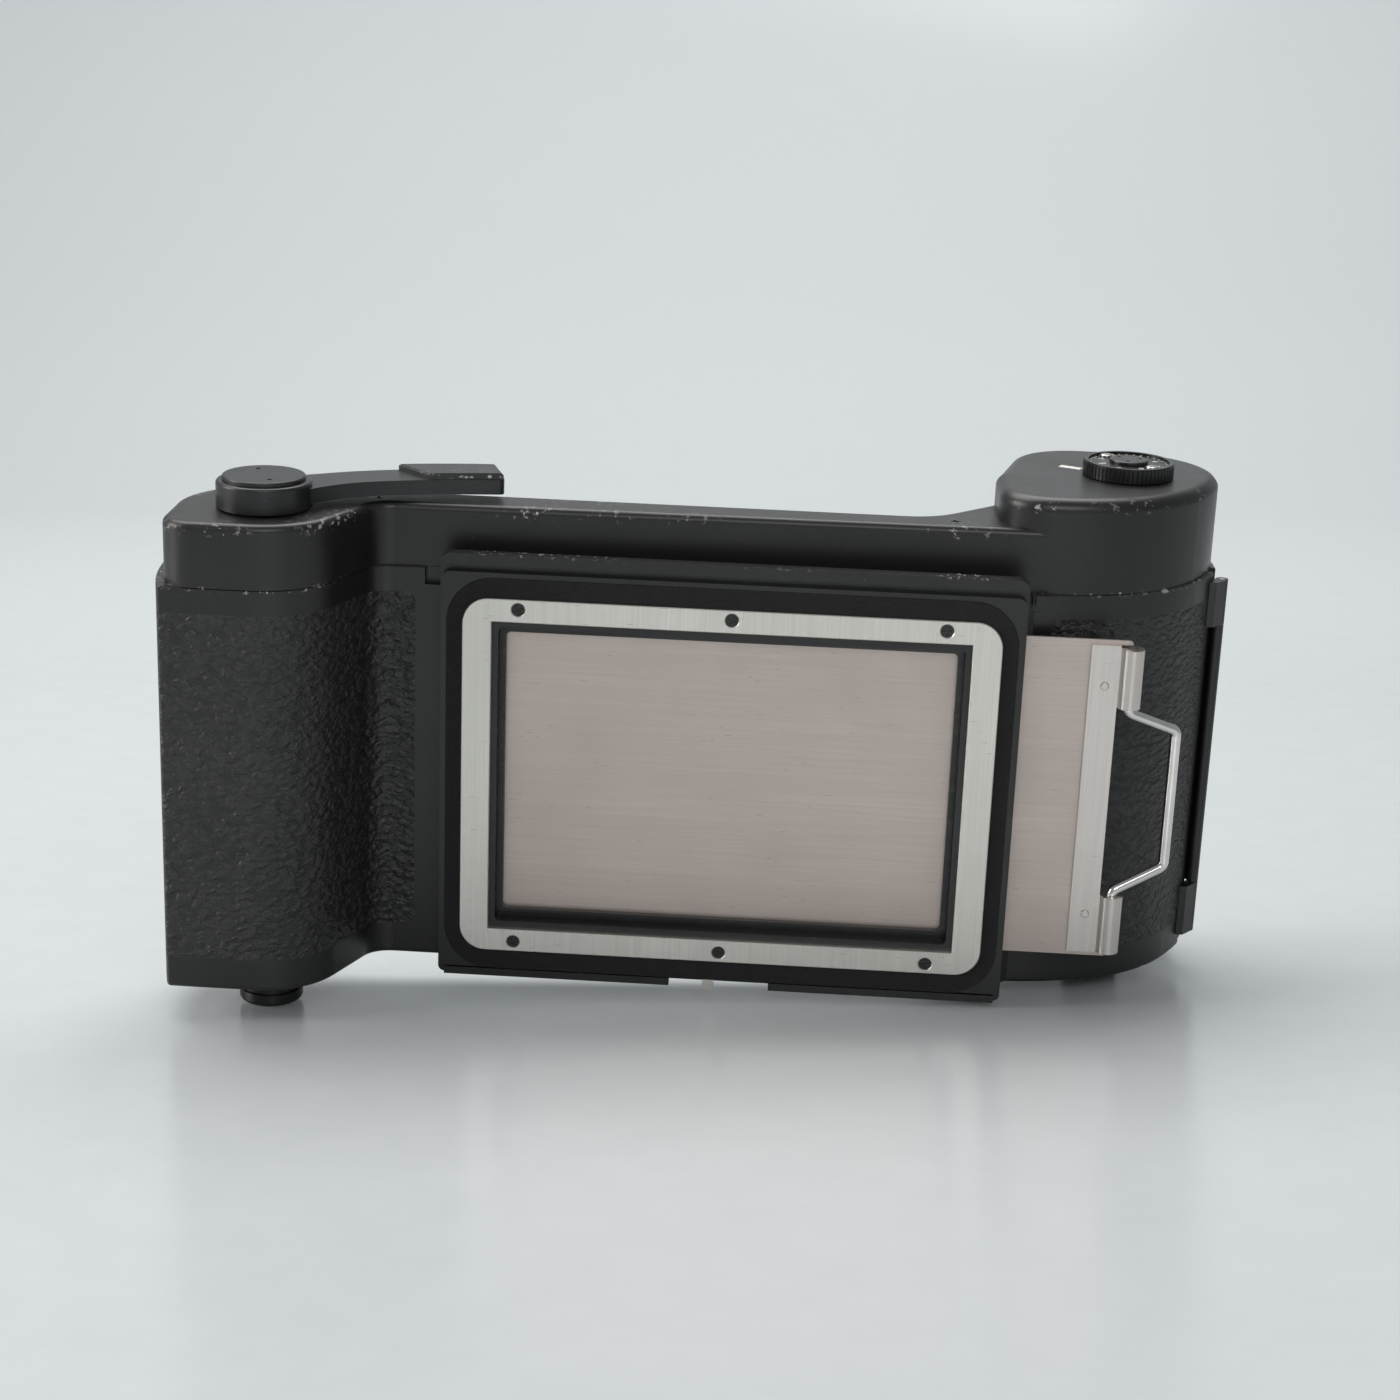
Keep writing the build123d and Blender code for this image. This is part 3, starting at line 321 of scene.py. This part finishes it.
LOOKS = {
    "body_casting": enamel("casting_enamel", ((BODY_TOP - 0.2 * MM, 0.7 * MM),)),
    "top_cover": enamel("cover_enamel", (
        (BRIDGE_TOP - 1.1 * MM, 1.5 * MM), (LOBE_TOP - 1.6 * MM, 1.5 * MM), (BODY_TOP, 0.4 * MM))),
    "plate": enamel("plate_enamel", ((PLATE_TOP, 0.5 * MM),), (0.006, 0.006, 0.006), 0.30),
    "door": enamel("door_enamel", ((DOOR_FOOT + 1.0 * MM, 1.0 * MM),)),
    "lever": enamel(
        "lever_enamel", ((LEVER_TOP - 0.6 * MM, 0.6 * MM),), (0.0085, 0.009, 0.0095), 0.34),
    "knob": enamel("knob_enamel", (), (0.008, 0.008, 0.008), 0.33),
    "leather": leatherette("leatherette"),
    "velvet": velvet("velvet"),
    "ring": brushed("ring_aluminium", (0.77, 0.755, 0.70), 0.42, "Z", stain=0.35, scratch=0.10),
    "slide": brushed(
        "slide_metal", (0.63, 0.545, 0.50), 0.44, "X", stain=0.55, metallic=0.75, scratch=0.07),
    "strip": brushed("strip_metal", (0.64, 0.60, 0.57), 0.32, "Z", stain=0.30),
    "wire": bright_metal("bail_nickel", (0.80, 0.78, 0.75), 0.14),
    "nickel": bright_metal("nickel", (0.66, 0.63, 0.58), 0.22),
    "brass": bright_metal("brass", (0.62, 0.47, 0.24), 0.28),
    "steel": bright_metal("spring_steel", (0.48, 0.48, 0.48), 0.30),
    "black": blackened("black_steel", 0.30, (0.005, 0.005, 0.005)),
    "dial": enamel("dial_enamel", (), (0.007, 0.007, 0.007), 0.28),
    "mark": white_fill("white_fill"),
}

WEARS = {
    "body_casting": "body_casting", "top_cover": "top_cover", "mount_plate": "plate", "back_door": "door",
    "wind_lever": "lever", "lever_cap": "lever", "take_up_knob": "knob", "supply_knob": "knob",
    "leather_left": "leather", "leather_right": "leather", "leather_door": "leather",
    "velvet_seal": "velvet", "slot_pad_front": "velvet", "slot_pad_back": "velvet",
    "aluminium_ring": "ring", "dark_slide": "slide", "slide_strip": "strip",
    "slide_rivet_top": "strip", "slide_rivet_bottom": "strip", "slide_bail": "wire",
    "slide_frame": "black", "cover_screw_left": "black", "cover_screw_right": "black",
    "pressure_plate": "black", "side_screw": "nickel", "mount_catch": "nickel", "hinge_pin": "nickel",
    "latch_strike": "nickel", "supply_pivot": "nickel", "door_latch": "nickel", "wind_shaft": "nickel",
    "guide_roller": "nickel", "measuring_roller": "nickel", "counter_shaft": "nickel",
    "dial_screw_left": "nickel", "dial_screw_right": "nickel", "take_up_spring": "steel",
    "supply_spring": "steel", "leaf_spring_left": "steel", "leaf_spring_right": "steel",
    "ratchet_pawl": "steel", "ratchet_wheel": "brass", "counter_pinion": "brass", "transfer_gear": "brass",
    "counter_wheel": "brass", "counter_dial": "dial", "dial_cap": "dial", "index_mark": "mark",
}
for name, cad in nodes.items():
    look = LOOKS[WEARS.get(name, "black")]
    cad.data.materials.clear()
    cad.data.materials.append(look)


# ------------------------------------------------------------- added details
def new_mesh(name, verts, faces, material, body):
    """A mesh piece that rides on one body."""
    mesh = bpy.data.meshes.new(name)
    mesh.from_pydata([tuple(v) for v in verts], [], faces)
    mesh.materials.append(material)
    made = bpy.data.objects.new(name, mesh)
    bpy.context.collection.objects.link(made)
    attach(made, body)


def bar(verts, faces, centre, along, across, up, length, width, height):
    """Adds one thin bar with bevelled ends to lists of vertices and faces."""
    base = len(verts)
    for lift, inset in ((0.0, 0.0), (height, 0.06 * width)):
        for i, j in ((-1, -1), (1, -1), (1, 1), (-1, 1)):
            corner = centre + along * (i * (length / 2 - inset))
            verts.append(corner + across * (j * (width / 2 - inset)) + up * lift)
    faces += [tuple(base + k for k in f) for f in (
        (3, 2, 1, 0), (4, 5, 6, 7), (0, 1, 5, 4), (1, 2, 6, 5), (2, 3, 7, 6), (3, 0, 4, 7))]


# the dial's recessed face, its ring of ticks and its frame numbers
DIAL_FACE = DIAL.z - 0.45 * MM
TICK_RADIUS = 7.6 * MM
TICKS = 32
NUMBER_RADIUS = 5.55 * MM
FRAMES = 8
MARK_ANGLE = 155
SCREW_ANGLES = (130, 310)

# ticks round the face, one long for each frame and short between
tick_verts, tick_faces = [], []
for step in range(TICKS):
    turn = math.radians(MARK_ANGLE + 360 * step / TICKS)
    outward = Vector((math.cos(turn), math.sin(turn), 0))
    sideways = Vector((-math.sin(turn), math.cos(turn), 0))
    length = 0.9 * MM if step % 4 == 0 else 0.45 * MM
    centre = Vector((DIAL.x, DIAL.y, DIAL_FACE)) + outward * (TICK_RADIUS - length / 2)
    bar(tick_verts, tick_faces, centre, outward, sideways, Vector((0, 0, 1)),
        length, 0.22 * MM, 0.03 * MM)
new_mesh("dial_ticks", tick_verts, tick_faces, LOOKS["mark"], "counter")


def dial_number(text, turn_deg):
    """One frame number, lying on the dial's face and reading from outside."""
    curve = bpy.data.curves.new(f"number_{text}", "FONT")
    curve.body = text
    curve.size = 2.0 * MM
    curve.extrude = 0.015 * MM
    curve.align_x = "CENTER"
    curve.align_y = "CENTER"
    turn = math.radians(turn_deg)
    made = bpy.data.objects.new(f"dial_number_{text}", curve)
    made.location = (
        DIAL.x + NUMBER_RADIUS * math.cos(turn),
        DIAL.y + NUMBER_RADIUS * math.sin(turn),
        DIAL_FACE + 0.016 * MM,
    )
    made.rotation_euler = (0, 0, turn - math.pi / 2)
    curve.materials.append(LOOKS["mark"])
    bpy.context.collection.objects.link(made)
    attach(made, "counter")


# a number is left out where one of the dial's screws takes its place
for number in range(1, FRAMES + 1):
    turn_deg = MARK_ANGLE - 360 / FRAMES * (number - 1)
    if min(abs((turn_deg - screw + 180) % 360 - 180) for screw in SCREW_ANGLES) > 12:
        dial_number(str(number), turn_deg)

# ------------------------------------------------------------------ the stage
# The holder leans on three places: both knobs and the plate's lower right corner.
SLOPE_X = 0.0435
SLOPE_Y = -0.1325
FLOOR_GAP = 0.05 * MM
FLOOR_FRONT = -1.5
FLOOR_HALF = 3.0
SWEEP_BACK = 0.9
SWEEP_RADIUS = 0.5
SWEEP_HEIGHT = 2.4
SWEEP_STEPS = 24
rest = min(
    v.co.z - SLOPE_X * v.co.x - SLOPE_Y * v.co.y
    for name in ("take_up_knob", "supply_knob", "mount_plate", "body_casting", "back_door")
    for v in nodes[name].data.vertices
)
up = Vector((-SLOPE_X, -SLOPE_Y, 1)).normalized()
along = (Vector((1, 0, SLOPE_X))).normalized()
away = up.cross(along).normalized()
floor_origin = Vector((0, 0, rest - FLOOR_GAP))

paper = Shader("stage_paper")
grain = paper.noise(90.0, 4.0, 0.6)
near = paper.mix(paper.ramp(grain, 0.3, 0.7), (0.55, 0.575, 0.585), (0.57, 0.595, 0.605))
# painted light: the sweep turns lighter toward the back, standing in for lamp light that reaches the far
# wall more weakly
back = paper.ramp(paper.axis("Y"), 0.35, 1.35)
paper.set(color=paper.mix(back, near, (0.86, 0.90, 0.92)), roughness=0.22, specular=0.5)

# a sheet of white acrylic that runs back and curves up into the backdrop
profile = [(FLOOR_FRONT, 0.0), (0.0, 0.0), (SWEEP_BACK, 0.0)]
for step in range(1, SWEEP_STEPS + 1):
    a = math.radians(90 * step / SWEEP_STEPS)
    profile.append((SWEEP_BACK + SWEEP_RADIUS * math.sin(a), SWEEP_RADIUS * (1 - math.cos(a))))
profile.append((SWEEP_BACK + SWEEP_RADIUS, SWEEP_HEIGHT))
stage_verts, stage_faces = [], []
for y, z in profile:
    for x in (-FLOOR_HALF, FLOOR_HALF):
        stage_verts.append(floor_origin + along * x + away * y + up * z)
for row in range(len(profile) - 1):
    stage_faces.append((2 * row, 2 * row + 1, 2 * row + 3, 2 * row + 2))
stage_mesh = bpy.data.meshes.new("stage_sweep")
stage_mesh.from_pydata([tuple(v) for v in stage_verts], [], stage_faces)
stage_mesh.materials.append(paper.material)
for face in stage_mesh.polygons:
    face.use_smooth = True
stage = bpy.data.objects.new("stage_sweep", stage_mesh)
bpy.context.collection.objects.link(stage)


# -------------------------------------------------------------- light, camera
def softbox(name, place, target, size, power, colour):
    light = bpy.data.lights.new(name, "AREA")
    light.shape = "RECTANGLE"
    light.size, light.size_y = size
    light.energy = power
    light.color = colour
    made = bpy.data.objects.new(name, light)
    made.location = place
    made.rotation_euler = (Vector(target) - Vector(place)).to_track_quat("-Z", "Y").to_euler()
    bpy.context.collection.objects.link(made)


MIDDLE = (0.0, 0.0, 0.05)
softbox("overhead", (-0.20, 0.45, 1.0), MIDDLE, (1.3, 0.8), 13.0, (1.0, 0.99, 0.97))
softbox("left", (-1.1, -0.15, 0.45), MIDDLE, (0.5, 0.7), 7.5, (1.0, 0.98, 0.95))
softbox("front", (0.25, -1.3, 0.9), (0.0, 0.0, 0.02), (0.8, 0.5), 5.0, (0.98, 0.99, 1.0))

world = bpy.data.worlds.new("studio")
world.use_nodes = True
world.node_tree.nodes["Background"].inputs["Color"].default_value = (0.93, 0.97, 1.0, 1.0)
world.node_tree.nodes["Background"].inputs["Strength"].default_value = 0.28
bpy.context.scene.world = world
bpy.context.scene.view_settings.view_transform = "Standard"

# the camera stands in front of the ring, looking down a little
YAW, PITCH, ROLL = (math.radians(a) for a in (-2.381, 17.741, 2.181))
camera_data = bpy.data.cameras.new("camera")
camera_data.sensor_width = 36.0
camera_data.lens = 67.02
camera_data.clip_end = 20.0
camera = bpy.data.objects.new("camera", camera_data)
level_right = Vector((math.cos(YAW), -math.sin(YAW), 0))
forward = Vector((math.sin(YAW) * math.cos(PITCH), math.cos(YAW) * math.cos(PITCH), -math.sin(PITCH)))
level_up = level_right.cross(forward)
right = math.cos(ROLL) * level_right + math.sin(ROLL) * level_up
upward = -math.sin(ROLL) * level_right + math.cos(ROLL) * level_up
turned = Matrix((right, upward, -forward)).transposed().to_4x4()
camera.matrix_world = Matrix.Translation(at_gate(14.0, -466.1, 167.0)) @ turned
bpy.context.collection.objects.link(camera)
bpy.context.scene.camera = camera
